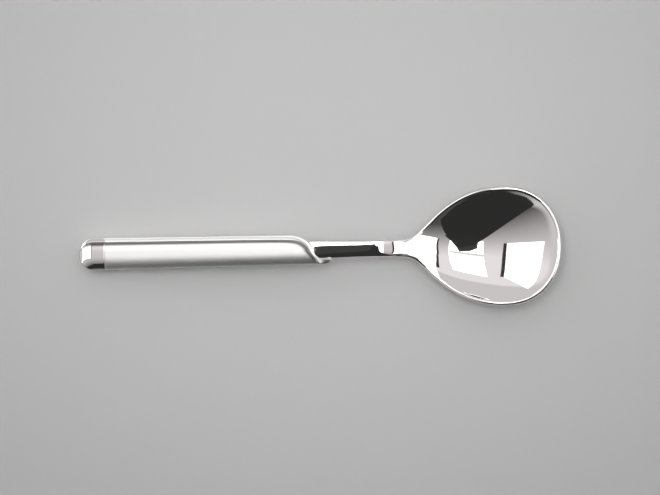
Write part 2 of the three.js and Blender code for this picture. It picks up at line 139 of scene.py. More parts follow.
def profile_run(s, start, end):
    """Fifth-power curve that meets the height, slope and bend given at both its ends."""
    run = end[0] - start[0]
    t = (s - start[0]) / run
    return (
        start[1] * (1 - 10 * t**3 + 15 * t**4 - 6 * t**5)
        + start[2] * run * (t - 6 * t**3 + 8 * t**4 - 3 * t**5)
        + start[3] * run**2 * (t**2 - 3 * t**3 + 3 * t**4 - t**5) / 2
        + end[3] * run**2 * (t**3 - 2 * t**4 + t**5) / 2
        + end[2] * run * (7 * t**4 - 4 * t**3 - 3 * t**5)
        + end[1] * (10 * t**3 - 15 * t**4 + 6 * t**5)
    )


def axis_height(s):
    """Middle of the metal along the spoon: straight handle, runs to the level neck, heel, floor and tip."""
    places = [s <= LEVEL_FROM, s <= LEVEL_AT, s <= BEND_AT, s <= HEEL_AT, s <= FLOOR_AT]
    heights = [
        AXIS_AT_END + HANDLE_RISE * s,
        profile_run(s, HANDLE_END, LEVEL_END),
        LEVEL_HEIGHT + 0 * s,
        profile_run(s, BEND_END, HEEL_END),
        profile_run(s, HEEL_END, FLOOR_END),
    ]
    return np.select(places, heights, profile_run(s, FLOOR_END, TIP_END))


def mid_height(s, y):
    """Middle of the metal anywhere: across, a parabola that a fourth power steepens. Its bend at the axis
    fades in along the heel and lessens towards the tip."""
    towards_tip = (s - HOLLOW_AT[1]) / (LENGTH - HOLLOW_AT[1])
    bend = lerp(1 / HOLLOW_RADII[0], 1 / HOLLOW_RADII[1], towards_tip) * smootherstep(s, *HOLLOW_AT)
    return axis_height(s) + bend / 2 * y**2 * (1 + SIDE_FULLNESS * (y / (BOWL_WIDTH / 2)) ** 2)


def bar_size(s, sizes, tang_size):
    """Half a width or height of tang and neck, eased from the tang to the mouth and on along the neck."""
    neck = lerp(sizes[0], sizes[1], smoothstep(s, HANDLE_LENGTH, NARROWEST_AT))
    return lerp(tang_size, neck, smoothstep(s, *TANG_SHOULDER)) / 2


def half_thickness(s):
    """Half the metal's thickness: the neck's eases to that of the bowl's floor, which grows to the tip."""
    bowl = lerp(*BOWL_THICKNESSES, smootherstep(s, FLOOR_AT, LENGTH)) / 2
    return lerp(bar_size(s, NECK_HEIGHTS, TANG_HEIGHT), bowl, smootherstep(s, NARROWEST_AT, FLOOR_AT))


def front_closing(s, reach):
    """Superellipse from 1 at the widest place to 0 at its reach in front of it."""
    ahead = np.clip((s - WIDEST_AT) / reach, 0, 1)
    return (1 - ahead**FRONT_SQUARENESS) ** (1 / FRONT_SQUARENESS)


def half_width(s):
    """Outline from above: behind the widest place neck and power curve joined softly, superellipse ahead."""
    half = BOWL_WIDTH / 2
    neck = bar_size(s, NECK_WIDTHS, TANG_WIDTH)
    widest = half - HEEL_FILLET**2 / (4 * (half - neck))
    behind = np.maximum(WIDEST_AT - s, 0) / BOWL_REAR
    rear = soft_max(widest * (1 - behind**REAR_SQUARENESS), neck, HEEL_FILLET)
    return np.where(s > WIDEST_AT, half * front_closing(s, BOWL_FRONT), rear)


MID_REACH = MID_TIP - WIDEST_AT
MID_WIDEST = BOWL_WIDTH / 2 - half_thickness(WIDEST_AT)


def mid_half_width(s):
    """Outline of the middle of the metal, inside the rim's rounding."""
    front = MID_WIDEST * front_closing(s, MID_REACH)
    return np.where(s > WIDEST_AT, front, half_width(s) - half_thickness(s))


def unit(vectors):
    """Vectors scaled to length 1."""
    return vectors / np.linalg.norm(vectors, axis=-1, keepdims=True)


SLOPE_STEP = 1e-3  # to each side of the place where a slope is worked out


def mid_normal(s, y):
    """Upward normal of the middle of the metal, from its slopes along and across."""
    along = (mid_height(s + SLOPE_STEP, y) - mid_height(s - SLOPE_STEP, y)) / (2 * SLOPE_STEP)
    aside = (mid_height(s, y + SLOPE_STEP) - mid_height(s, y - SLOPE_STEP)) / (2 * SLOPE_STEP)
    return unit(np.stack([-along, -aside, np.ones_like(along)], axis=-1))


def rim_outward(s, side, normal):
    """Direction out of the outline, square to it from above, laid into the surface."""
    power = FRONT_SQUARENESS - 1
    ahead = np.clip((s - WIDEST_AT) / MID_REACH, 0, 1) ** power / MID_REACH
    aside = front_closing(s, MID_REACH) ** power / MID_WIDEST
    narrowing = (mid_half_width(s - SLOPE_STEP) - mid_half_width(s + SLOPE_STEP)) / (2 * SLOPE_STEP)
    front = s > WIDEST_AT
    outward = np.stack(
        [np.where(front, ahead, narrowing), side * np.where(front, aside, 1), np.zeros_like(s)], axis=-1
    )
    return unit(outward - normal * np.sum(outward * normal, axis=-1, keepdims=True))


def bar_points(s, share, up, gap, seam):
    """Superellipse of the neck's bar with a gap round it, at shares of the half turn from the +Y side; up is
    1 over the top and -1 underneath."""
    turn = np.pi * share
    power = 2 / NECK_SQUARENESS
    y = (half_width(s) + gap) * signed_power(np.cos(turn), power)
    z = np.maximum((half_thickness(s) + gap) * np.abs(np.sin(turn)) ** power, seam)
    return np.stack([np.broadcast_to(s, y.shape), y, axis_height(s) + up * z], axis=-1)


SHEET_RUN = (NARROWEST_AT + SHEET_START, HOLLOW_AT[0] + SHEET_END)
ACROSS_STEPS = 84
EDGE_STEPS = 16
EDGE_SHARE = 0.11  # of the bar's half turn, in its edge on each side


def blade_rings(stations):
    """Closed sections: top from +Y to -Y, edge, underside back, edge. They change along the heel from the
    neck's bar to a sheet: its middle set off by half the thickness, with superellipses round the edges."""
    s = stations[:, None]
    thick = half_thickness(s)[..., None]
    across = np.linspace(-1, 1, ACROSS_STEPS + 1)
    round_edge = np.linspace(-1, 1, EDGE_STEPS + 1)[1:-1]
    turns = np.pi / 2 * (1 + round_edge)[None, :, None]
    from_side = EDGE_SHARE * np.abs(round_edge)
    sheet_runs = []
    bar_runs = []
    for top in (1, -1):
        y = -top * across * mid_half_width(s)
        along = np.broadcast_to(s, y.shape)
        middle = np.stack([along, y, mid_height(along, y)], axis=-1)
        normal = mid_normal(along, y)
        edge_normal = normal[:, -1:]
        over = top * signed_power(np.cos(turns), 2 / RIM_SQUARENESS)
        outside = np.sin(turns) ** (2 / RIM_SQUARENESS)
        rounding = over * edge_normal + outside * rim_outward(s, -top, edge_normal)
        sheet_runs += [middle + top * thick * normal, middle[:, -1:] + thick * rounding]
        edge_shares = 1 - from_side if top > 0 else from_side
        edge_up = -top * np.sign(round_edge)
        bar_runs += [
            bar_points(s, 0.5 + top * across * (0.5 - EDGE_SHARE), top, 0, 0),
            bar_points(s, edge_shares, edge_up, 0, 0),
        ]
    sheet_share = smootherstep(s, *SHEET_RUN)[..., None]
    rings = lerp(np.concatenate(bar_runs, axis=1), np.concatenate(sheet_runs, axis=1), sheet_share)
    rings[..., 2] = rounded_max(rings[..., 2], 0, REST_FLAT)
    return rings


MERGE_DISTANCE = 1e-8  # metres
SHARP_EDGE = np.radians(40)


def lofted(name, rings, strip_ends, painted_shade=0):
    """Closed mesh through rings of equal count, with a face between each four neighbours. Rings that close to
    a point are merged; with strip_ends, each end ring's second half runs back beside its first. How much
    shade is painted at each point, of 0 to 1, is kept for the material."""
    count, around = rings.shape[:2]
    number = np.arange(count * around).reshape(count, around)
    beside = np.roll(number, -1, axis=1)
    faces = [np.stack([number[:-1], beside[:-1], beside[1:], number[1:]], axis=-1).reshape(-1, 4)]
    if strip_ends:
        half = around // 2
        for ring in (number[0], number[-1]):
            out, back = ring[:half], ring[half:][::-1]
            faces.append(np.stack([out[:-1], out[1:], back[1:], back[:-1]], axis=-1))
    mesh = bpy.data.meshes.new(name)
    places = (rings - [LENGTH / 2, 0, 0]) * MM
    mesh.from_pydata(places.reshape(-1, 3), [], np.concatenate(faces))
    painted_shades = np.broadcast_to(painted_shade, (count, around)).ravel()
    mesh.attributes.new("painted_shade", "FLOAT", "POINT").data.foreach_set("value", painted_shades.astype(np.float32))
    shape = bmesh.new()
    shape.from_mesh(mesh)
    bmesh.ops.remove_doubles(shape, verts=shape.verts, dist=MERGE_DISTANCE)
    bmesh.ops.recalc_face_normals(shape, faces=shape.faces)
    shape.to_mesh(mesh)
    shape.free()
    mesh.shade_smooth()
    mesh.set_sharp_from_angle(angle=SHARP_EDGE)
    piece = bpy.data.objects.new(name, mesh)
    bpy.context.scene.collection.objects.link(piece)
    return piece


class Wire:
    """An output in a node tree, for use in sums: each operator adds the Math node that works it out."""

    def __init__(self, tree, socket=None):
        self.tree = tree
        self.socket = socket

    def add(self, kind, settings, inputs, output=0):
        """Adds a node of a kind: its settings first, then its sockets, each with a value or a wire."""
        node = self.tree.nodes.new(kind)
        for name, value in settings.items():
            if name == "stops":
                for stop, (place, shade) in zip(node.color_ramp.elements, value):
                    stop.position = place
                    stop.color = shade
            else:
                setattr(node, name, value)
        for name, value in inputs.items():
            if isinstance(value, Wire):
                self.tree.links.new(value.socket, node.inputs[name])
            else:
                node.inputs[name].default_value = value
        return Wire(self.tree, node.outputs[output] if node.outputs else None)

    def maths(self, operation, first, second):
        """Adds a Math node for two wires or numbers."""
        return self.add("ShaderNodeMath", {"operation": operation}, {0: first, 1: second})

    def __add__(self, other):
        return self.maths("ADD", self, other)

    def __radd__(self, other):
        return self.maths("ADD", other, self)

    def __sub__(self, other):
        return self.maths("SUBTRACT", self, other)

    def __rsub__(self, other):
        return self.maths("SUBTRACT", other, self)

    def __mul__(self, other):
        return self.maths("MULTIPLY", self, other)

    def __rmul__(self, other):
        return self.maths("MULTIPLY", other, self)

    def __truediv__(self, other):
        return self.maths("DIVIDE", self, other)

    def __rtruediv__(self, other):
        return self.maths("DIVIDE", other, self)


def new_material(name):
    """An empty material and a wire into its nodes."""
    material = bpy.data.materials.new(name)
    material.use_nodes = True
    material.node_tree.nodes.clear()
    return material, Wire(material.node_tree)


def surface(nodes, **shader):
    """Ends a material with a Principled shader whose sockets are given, spaces written as underscores."""
    sockets = {name.replace("_", " "): value for name, value in shader.items()}
    principled = nodes.add("ShaderNodeBsdfPrincipled", {}, sockets)
    nodes.add("ShaderNodeOutputMaterial", {}, {"Surface": principled})


def millimetres(nodes, stretch=(1, 1, 1), turn=(0, 0, 0)):
    """The piece's own coordinates in millimetres, stretched and turned for a pattern."""
    place = nodes.add("ShaderNodeTexCoord", {}, {}, output="Object")
    scale = [value / MM for value in stretch]
    return nodes.add("ShaderNodeMapping", {}, {"Vector": place, "Rotation": turn, "Scale": scale})


def noise(nodes, place, scale, detail):
    """Noise from 0 to 1 about a mean of a half."""
    sockets = {"Vector": place, "Scale": scale, "Detail": detail}
    return nodes.add("ShaderNodeTexNoise", {}, sockets)


def raised(nodes, height, depth):
    """Normal of a relief whose height, of 0 to 1, is a wire and whose depth is in millimetres."""
    return nodes.add("ShaderNodeBump", {}, {"Height": height, "Distance": depth * MM, "Strength": 1.0})


def share_between(nodes, value, low, high):
    """Climbs in a straight line from 0 at low to 1 at high, and stays there."""
    return nodes.add("ShaderNodeMapRange", {}, {"Value": value, "From Min": low, "From Max": high})


# Colour of the shade painted into the handle's groove and under its tongue
PAINTED_SHADE_COLOUR = (0.13, 0.125, 0.12, 1)


def with_painted_shade(nodes, unshaded):
    """The metal's colour, darkened by the shade painted into the mesh in the handle's groove and under its
    tongue.
    """
    painted_shade = nodes.add("ShaderNodeAttribute", {"attribute_name": "painted_shade"}, {}, output="Fac")
    return nodes.add("ShaderNodeValToRGB", {"stops": [(0, unshaded), (1, PAINTED_SHADE_COLOUR)]}, {"Fac": painted_shade})


POLISHED_COLOUR = (0.86, 0.84, 0.83, 1)
POLISHED_ROUGHNESS = 0.035
HAIRLINE_ROUGHNESS = 0.05  # added on the finest wiping marks
HAIRLINES_PER_MM = 9
HAIRLINE_STRETCH = (0.25, 1, 1)  # scales of their pattern, a small one for long marks
HAIRLINE_TURN = (0.2, 0.1, 0.5)  # radians by which the marks are turned off the axes
HAIRLINE_LEVELS = (0.6, 0.8)  # of the noise, from no mark to a full one
WAVES_PER_MM = 0.16  # of the buffing's slow waves
WAVE_HEIGHT = 0.0012


def polished_steel():
    """Mirror polish: slow buffing waves in the normal, and hairline wiping marks, which are rougher."""
    material, nodes = new_material("polished_steel")
    marks_at = millimetres(nodes, HAIRLINE_STRETCH, HAIRLINE_TURN)
    marks = noise(nodes, marks_at, HAIRLINES_PER_MM, detail=2)
    line = share_between(nodes, marks, *HAIRLINE_LEVELS)
    waves = noise(nodes, millimetres(nodes), WAVES_PER_MM, detail=1)
    surface(
        nodes,
        Base_Color=with_painted_shade(nodes, POLISHED_COLOUR),
        Metallic=1.0,
        Roughness=line * HAIRLINE_ROUGHNESS + POLISHED_ROUGHNESS,
        Normal=raised(nodes, waves, WAVE_HEIGHT),
    )
    return material


POLISH = polished_steel()
TANG_ROWS = 4
NECK_ROWS = 60
HEEL_ROWS = 150
FLOOR_ROWS = 60
FRONT_ROWS = 97
front_turns = np.linspace(0, np.pi / 2, FRONT_ROWS)[1:]
blade_stations = np.concatenate(
    [
        np.linspace(TANG_END, TANG_SHOULDER[0], TANG_ROWS)[:-1],
        np.linspace(TANG_SHOULDER[0], BEND_AT, NECK_ROWS)[:-1],
        np.linspace(BEND_AT, FLOOR_AT, HEEL_ROWS)[:-1],
        np.linspace(FLOOR_AT, WIDEST_AT, FLOOR_ROWS),
        WIDEST_AT + MID_REACH * np.sin(front_turns) ** (2 / FRONT_SQUARENESS),
    ]
)
blade_stations[-1] = MID_TIP
sections = blade_rings(blade_stations)
tang_closing = np.broadcast_to(sections[:1].mean(axis=1, keepdims=True), sections[:1].shape)
bowl_and_neck = lofted("spoon_bowl", np.concatenate([tang_closing, sections]), False)
bowl_and_neck.data.materials.append(POLISH)
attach(bowl_and_neck, "root")
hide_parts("bowl_and_neck")

# Cement in the handle
# A plug of hard cement fills the front of the hollow handle round the tang. It is closed in on all sides, so
# it keeps the plain shape of its cavity.
CEMENT_TONES = [(0.35, (0.5, 0.47, 0.42, 1)), (0.65, (0.72, 0.69, 0.64, 1))]  # by the level of the noise
CEMENT_GRAIN_PER_MM = 2.5
CEMENT_GRIT = 0.1  # height of the grain
CEMENT_ROUGHNESS = 0.9


def cement():
    """Pale gritty cement: two tones by noise, and the same grain in the bump."""
    material, nodes = new_material("cement")
    grain = noise(nodes, millimetres(nodes), CEMENT_GRAIN_PER_MM, detail=6)
    tone = nodes.add("ShaderNodeValToRGB", {"stops": CEMENT_TONES}, {"Fac": grain})
    grit = raised(nodes, grain, CEMENT_GRIT)
    surface(nodes, Base_Color=tone, Roughness=CEMENT_ROUGHNESS, Normal=grit)
    return material


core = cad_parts["handle_core"]
core.data.materials.clear()
core.data.materials.append(cement())

# Handle shells
# Two pressed stainless half shells, brazed along the side seams and rolled in round the neck at a slanted
# mouth. The upper one has a raised bead and a groove along one edge, which turn across the mouth. Fine satin
# brushing runs along the handle.
HANDLE_WIDTHS = (9.1, 8.3)  # at the cap and at the mouth
HANDLE_HEIGHTS = (6.6, 6.2)  # at the same places
HANDLE_CROWN = 1.32  # fall of its top and underside from the middle to the edges
CROWN_POWER = 3.2  # exponent of that fall
EDGE_SQUARENESS = 40  # exponent of the turn from the crown into the upright sides
SHARE_SPREAD = 0.714  # power that spreads the shares of the half turn over the width
CAP_LENGTH = 7.35
DOME_LENGTH = 4.1
DOME_SQUARENESS = 2  # exponent of its outline from above
DOME_FALL = 0.36  # share of the height that the dome's top falls before it turns down
DOME_POWER = 1.7  # exponent of that fall
DOME_TOP_SQUARENESS = 24  # exponent of the turn down
DOME_FLAT_AT = 0.9  # share of the dome at which its top has no crown left
SHELL_WALL = 0.8
SEAM_HALF = 0.015  # half of the hairline between the shells
CAP_GAP = 0.1  # between the cap and the shells
FIT_GAP = 0.15  # round the neck and the spigot
JOINT_ROUND = 0.06  # rounding of the edges at the cap joint
MOUTH_SLANT = 4.15  # run of the nose's start to each side
MOUTH_BULGE = 1.75  # how far it reaches forward on top and underneath
NOSE_BACK = 4.4  # length of the rolled-in nose on the +Y side
NOSE_TOP = 0.3  # at its shortest, over the top
NOSE_SHORTEST_SHARE = 0.72  # of the half turn, from where it is shortest
TONGUE = 3.6  # how far it grows again along the neck on the -Y side
TONGUE_SHARE = 0.9  # of the half turn, from where it grows
TONGUE_RISE = (0.78, 0.92)  # of the half turn, over which the tongue's edge leaves the neck
TONGUE_STAND = 0.3  # between the neck and the tongue's edge
TONGUE_SHADE = (0.86, 0.93)  # of the half turn, over which painted shade begins under the tongue
TONGUE_SHADE_END = (0.97, 1)  # and over which it ends towards the seam
SHADE_RUN = 2  # from the nose's start to where that painted shade is full
MOUTH_LAND = 1  # by which the inner wall's nose starts sooner
SLANT_RUN = 14  # length over which the slant builds up
BEAD_HEIGHT = 0.66
BEAD_ANGLE = 51  # degrees up from the seam to the groove
BEAD_RISE = 2.3  # from the groove to its full height
BEAD_LEAN = np.radians(17)  # out from upright, in which it is raised
BEAD_TURN = 2  # softness of the turn at the mouth
GROOVE_DEPTH = 0.35
GROOVE_REACH = 0.35  # to each side of its middle
SHADE_SHIFT = 0.39  # of the painted shade, from the groove's middle towards the crown
SHADE_REACH = 0.95  # of it to each side
BEAD_SEAM_SHARE = 0.06  # of the half turn, in which the bead rises from the seam
BEAD_FADE = (0.6, 0.9)  # and where it dies out on the far side
SLANT_START = HANDLE_LENGTH - MOUTH_SLANT - SLANT_RUN
HALF_GIRTH = np.pi * (HANDLE_WIDTHS[1] + HANDLE_HEIGHTS[1]) / 4


def in_dome(s):
    """Share of the dome behind a place: 1 at the handle's round end, 0 where the dome begins."""
    return np.clip((DOME_LENGTH - s) / DOME_LENGTH, 0, 1)


def dome_closing(s, squareness):
    """Superellipse from 0 at the handle's round end to 1 where its dome begins."""
    return (1 - in_dome(s) ** squareness) ** (1 / squareness)


def dome_top(s):
    """Height of the dome's top: a power curve that a superellipse turns down at the very end."""
    return (1 - DOME_FALL * in_dome(s) ** DOME_POWER) * dome_closing(s, DOME_TOP_SQUARENESS)


def dome_crown(s):
    """How much of the crown and the bead is left along the dome, whose top is flat across at its end."""
    return 1 - smoothstep(in_dome(s), 0, DOME_FLAT_AT)


def handle_size(s, up):
    """Half width and half height of the handle's section: a slow taper, closed by the dome at its end."""
    along = (s - CAP_LENGTH) / (HANDLE_LENGTH - CAP_LENGTH)
    width = dome_closing(s, DOME_SQUARENESS) * lerp(*HANDLE_WIDTHS, along) / 2
    height = dome_top(s) if up > 0 else dome_closing(s, DOME_SQUARENESS)
    return width, height * lerp(*HANDLE_HEIGHTS, along) / 2


def nose_start(share):
    """Where the nose begins round the half turn: a slant from side to side with a bulge on top."""
    return HANDLE_LENGTH - MOUTH_SLANT * np.cos(np.pi * share) + MOUTH_BULGE * np.sin(np.pi * share)


def nose_length(share, up):
    """Length of the nose: over the top it shortens and runs out into the tongue, below it changes evenly."""
    shortening = lerp(NOSE_BACK, NOSE_TOP, smoothstep(share, 0, NOSE_SHORTEST_SHARE))
    above = shortening + TONGUE * smoothstep(share, TONGUE_SHARE, 1)
    return above if up > 0 else lerp(NOSE_BACK, NOSE_TOP + TONGUE, share)


def past_groove(s, share):
    """Distance from the groove on to the bead, the larger of those towards the seam and towards the mouth."""
    to_edge = (BEAD_ANGLE / 180 - share) * HALF_GIRTH
    return soft_max(to_edge, s - nose_start(share), BEAD_TURN)


def bump_at(distance, reach):
    """Smooth bump from 1 at no distance to 0 at its reach: the square of one less the squared share."""
    return np.maximum(1 - (distance / reach) ** 2, 0) ** 2


def bead_fade(share):
    """How much of bead and groove is left towards the seam and on the far side."""
    return smoothstep(share, 0, BEAD_SEAM_SHARE) * (1 - smoothstep(share, *BEAD_FADE))


def bead_lift(s, share):
    """How far the bead stands proud, or the groove lies in."""
    distance = past_groove(s, share)
    rise = BEAD_HEIGHT * smoothstep(distance, 0, BEAD_RISE)
    return bead_fade(share) * (rise - GROOVE_DEPTH * bump_at(distance, GROOVE_REACH))


def groove_shade(s, share):
    """How much shade is painted in the groove and on the crown beside it, as in a crease that lies in shade.
    """
    return bead_fade(share) * bump_at(past_groove(s, share) + SHADE_SHIFT, SHADE_REACH)


def handle_points(s, share, up, inset, lift, seam):
    """Points of the handle's section at shares of the half turn, drawn in by inset, raised by lift: a power
    curve over the top, and a superellipse that turns it into the upright sides."""
    width, height = handle_size(s, up)
    turn = np.pi * share
    across = signed_power(np.cos(turn), SHARE_SPREAD)
    fall = HANDLE_CROWN / (HANDLE_HEIGHTS[0] / 2) * (dome_crown(s) if up > 0 else 1)
    crown = 1 - fall * np.abs(across) ** CROWN_POWER
    edge = (1 - np.abs(across) ** EDGE_SQUARENESS) ** (1 / EDGE_SQUARENESS)
    y = (width - inset) * across + lift * np.sin(BEAD_LEAN)
    z = seam + (height - inset - seam) * crown * edge + lift * np.cos(BEAD_LEAN)
    return np.stack([s, y, axis_height(s) + up * z], axis=-1)


BEAD_SIDE = 0.35  # share of the half turn that has the bead, where columns lie closer
BEAD_COLUMNS = 90
FAR_COLUMNS = 84
JOINT_ROWS = 6
BODY_ROWS = 50
RUN_ROWS = 90
RUN_CROWDING = 1.7  # power that crowds those rows towards the nose
NOSE_ROWS = 32
SHELL_SHARES = np.concatenate(
    [np.linspace(0, BEAD_SIDE, BEAD_COLUMNS), np.linspace(BEAD_SIDE, 1, FAR_COLUMNS)[1:]]
)
JOINT_TURNS = np.linspace(0, np.pi / 2, JOINT_ROWS)


def shell_wall(up, inset, setback):
    """One face of a half shell: rows from the cap joint along the body, on to the slanted start of the nose,
    then a quarter ellipse in which the section closes onto the neck, or onto the tongue that stands off it.
    With each point goes how much shade is painted there: in the groove, and under the tongue."""
    share = SHELL_SHARES[None, :]
    joint = CAP_LENGTH + CAP_GAP + JOINT_ROUND * (1 - np.cos(JOINT_TURNS))
    body = np.concatenate([joint, np.linspace(joint[-1], SLANT_START, BODY_ROWS)[1:]])[:, None]
    run = 1 - np.linspace(1, 0, RUN_ROWS)[1:-1, None] ** RUN_CROWDING
    turn = np.linspace(0, np.pi / 2, NOSE_ROWS)[:, None]
    start = nose_start(share) - setback
    s = np.concatenate(
        [body + 0 * share, lerp(SLANT_START, start, run), start + nose_length(share, up) * np.sin(turn)]
    )
    closing = np.concatenate([np.zeros((len(body) + len(run), 1)), 1 - np.cos(turn)])
    outside = inset == 0
    drawn_in = np.full((len(s), 1), float(inset))
    if outside:
        drawn_in[: len(joint), 0] = JOINT_ROUND * (1 - np.sin(JOINT_TURNS))
    beaded = (1 - closing) * (outside and up > 0)
    wall = handle_points(s, share, up, drawn_in, bead_lift(s, share) * beaded, SEAM_HALF)
    rim = bar_points(s, share, up, FIT_GAP, SEAM_HALF)
    narrowing = (half_width(s) + FIT_GAP + TONGUE_STAND) / handle_size(s, up)[0]
    tongue = handle_points(s, share, up, drawn_in, 0 * s, SEAM_HALF)
    tongue[..., 1] *= narrowing
    rim = lerp(rim, tongue, smoothstep(share, *TONGUE_RISE)[..., None])
    # Shade painted on the nose under the tongue, whose face turns away from the light
    under_tongue = smoothstep(share, *TONGUE_SHADE) - smoothstep(share, *TONGUE_SHADE_END)
    on_nose = smoothstep(s, start, start + SHADE_RUN) * (outside and up > 0)
    painted_shade = np.maximum(groove_shade(s, share) * beaded, under_tongue * on_nose)
    return lerp(wall, rim, closing[..., None]), painted_shade


SATIN_COLOUR = (0.83, 0.83, 0.82, 1)
SATIN_ROUGHNESS = 0.4
BRUSH_ROUGHNESS = 0.12  # spread of the roughness over the brush lines
BRUSH_LINES_PER_MM = 14
BRUSH_STRETCH = 0.04  # scale of their pattern along the handle, a small one for long lines
BRUSH_DEPTH = 0.004
MOTTLES_PER_MM = 0.8
MOTTLE_STRETCH = 0.4  # the same for the mottle


def satin_steel():
    """Satin brushing: fine lines along the handle in roughness and bump, and a faint slow mottle."""
    material, nodes = new_material("satin_steel")
    lines = noise(nodes, millimetres(nodes, (BRUSH_STRETCH, 1, 1)), BRUSH_LINES_PER_MM, detail=3)
    mottle = noise(nodes, millimetres(nodes, (MOTTLE_STRETCH, 1, 1)), MOTTLES_PER_MM, detail=2)
    surface(
        nodes,
        Base_Color=with_painted_shade(nodes, SATIN_COLOUR),
        Metallic=1.0,
        Roughness=(lines + mottle - 1) * BRUSH_ROUGHNESS + SATIN_ROUGHNESS,
        Normal=raised(nodes, lines, BRUSH_DEPTH),
    )
    return material


SATIN = satin_steel()
for side, up in (("upper", 1), ("lower", -1)):
    outer, outer_shade = shell_wall(up, 0, 0)
    inner, inner_shade = shell_wall(up, SHELL_WALL, MOUTH_LAND)
    shell = lofted(
        f"{side}_shell",
        np.concatenate([outer, inner[:, ::-1]], axis=1),
        True,
        np.concatenate([outer_shade, inner_shade[:, ::-1]], axis=1),
    )
    shell.data.materials.append(SATIN)
    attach(shell, "root")
    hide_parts(f"handle_{side}_shell")

# End cap
# A turned stainless cap with a domed end and a spigot that plugs the shells. It is polished, so the joint
# with the satin shells shows as a crisp line.
SPIGOT_LENGTH = 4.5
DOME_ROWS = 40
BARREL_ROWS = 16


def cap_ring(s, inset):
    """Rings round the whole cap at places s, drawn in by inset, and the shade painted at them; the bead runs
    out over the dome."""
    s = s[:, None]
    inset = inset[:, None]
    beaded = np.where(inset < SHELL_WALL, dome_closing(s, DOME_SQUARENESS), 0)
    lift = bead_lift(s, SHELL_SHARES) * beaded * dome_crown(s)
    # Shade painted into the groove beside the bead on the cap
    painted_shade = groove_shade(s, SHELL_SHARES) * beaded
    s = s + 0 * SHELL_SHARES
    upper = handle_points(s, SHELL_SHARES, 1, inset, lift, 0)
    lower = handle_points(s, SHELL_SHARES[::-1], -1, inset, 0 * lift, 0)[:, 1:-1]
    return np.concatenate([upper, lower], axis=1), np.concatenate([painted_shade, 0 * lower[..., 0]], axis=1)


dome_turns = np.linspace(0, np.pi / 2, DOME_ROWS)
dome = DOME_LENGTH * (1 - np.cos(dome_turns))
barrel = np.linspace(DOME_LENGTH, CAP_LENGTH - JOINT_ROUND, BARREL_ROWS)[1:]
joint = CAP_LENGTH - JOINT_ROUND * (1 - np.sin(JOINT_TURNS[1:]))
spigot = np.array([CAP_LENGTH, CAP_LENGTH + SPIGOT_LENGTH])
spigot_inset = np.full(len(spigot), SHELL_WALL + FIT_GAP)
smooth = np.zeros(len(dome) + len(barrel))
cap_rings, cap_shade = cap_ring(
    np.concatenate([dome, barrel, joint, spigot]),
    np.concatenate([smooth, JOINT_ROUND * (1 - np.cos(JOINT_TURNS[1:])), spigot_inset]),
)
spigot_closing = np.broadcast_to(cap_rings[-1:].mean(axis=1, keepdims=True), cap_rings[-1:].shape)
cap_shade = np.concatenate([cap_shade, cap_shade[-1:]])
end_cap = lofted("polished_cap", np.concatenate([cap_rings, spigot_closing]), False, cap_shade)
end_cap.data.materials.append(POLISH)
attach(end_cap, "root")
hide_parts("end_cap")

# Table
# A sheet of plain pale grey paper, wide enough to fill the view. A pool of light is painted into its grey:
# it is lightest above the middle of the picture and darkens slowly outwards.
TABLE_SIZE = 4000
TABLE_GREY = 0.588
PAINTED_LIGHT_AT = (1, 33)  # of the painted pool of light, along and across from the middle
PAINTED_FALLOFF_REACH = (275, 220)  # along and across, at which the painted light leaves the paper half its lightness
TOOTH_PER_MM = 1.5
TOOTH_DEPTH = 0.02
PAPER_ROUGHNESS = 0.8


def paper():
    """Matte grey paper with a fine even tooth; its grey, with a painted pool of light, divides by one plus
    the squared distances.
    """
    material, nodes = new_material("grey_paper")
    place = millimetres(nodes)
    tooth = raised(nodes, noise(nodes, place, TOOTH_PER_MM, detail=3), TOOTH_DEPTH)
    distances = 1
    for axis, lightest, reach in zip("XY", PAINTED_LIGHT_AT, PAINTED_FALLOFF_REACH):
        away = nodes.add("ShaderNodeSeparateXYZ", {}, {"Vector": place}, output=axis) - lightest
        share = away / reach
        distances = share * share + distances
    # Painted light: the grey falls off away from its lightest place
    surface(nodes, Base_Color=TABLE_GREY / distances, Roughness=PAPER_ROUGHNESS, Normal=tooth)
    return material


def flat_sheet(name, corners, material):
    """A sheet of the stage with the given corners, in millimetres."""
    mesh = bpy.data.meshes.new(name)
    mesh.from_pydata(np.array(corners) * MM, [], [range(len(corners))])
    mesh.materials.append(material)
    sheet = bpy.data.objects.new(name, mesh)
    bpy.context.scene.collection.objects.link(sheet)
    return sheet


edge = TABLE_SIZE / 2
flat_sheet("table", [(-edge, -edge, 0), (edge, -edge, 0), (edge, edge, 0), (-edge, edge, 0)], paper())

# Studio
# A pale room, darker towards -Y, with a lamp for the table, and panels for the polish to mirror: one overhead
# with a grey crossbar, a soft box towards each end of the spoon with a black frame bar on its inner edge, and
# two dark flags. The camera sees none of them.
LIGHT_HEIGHT = 1500
FRAME_HEIGHT = 1430
HIGH_FLAG_HEIGHT = 1350
LOW_FLAG_HEIGHT = 400
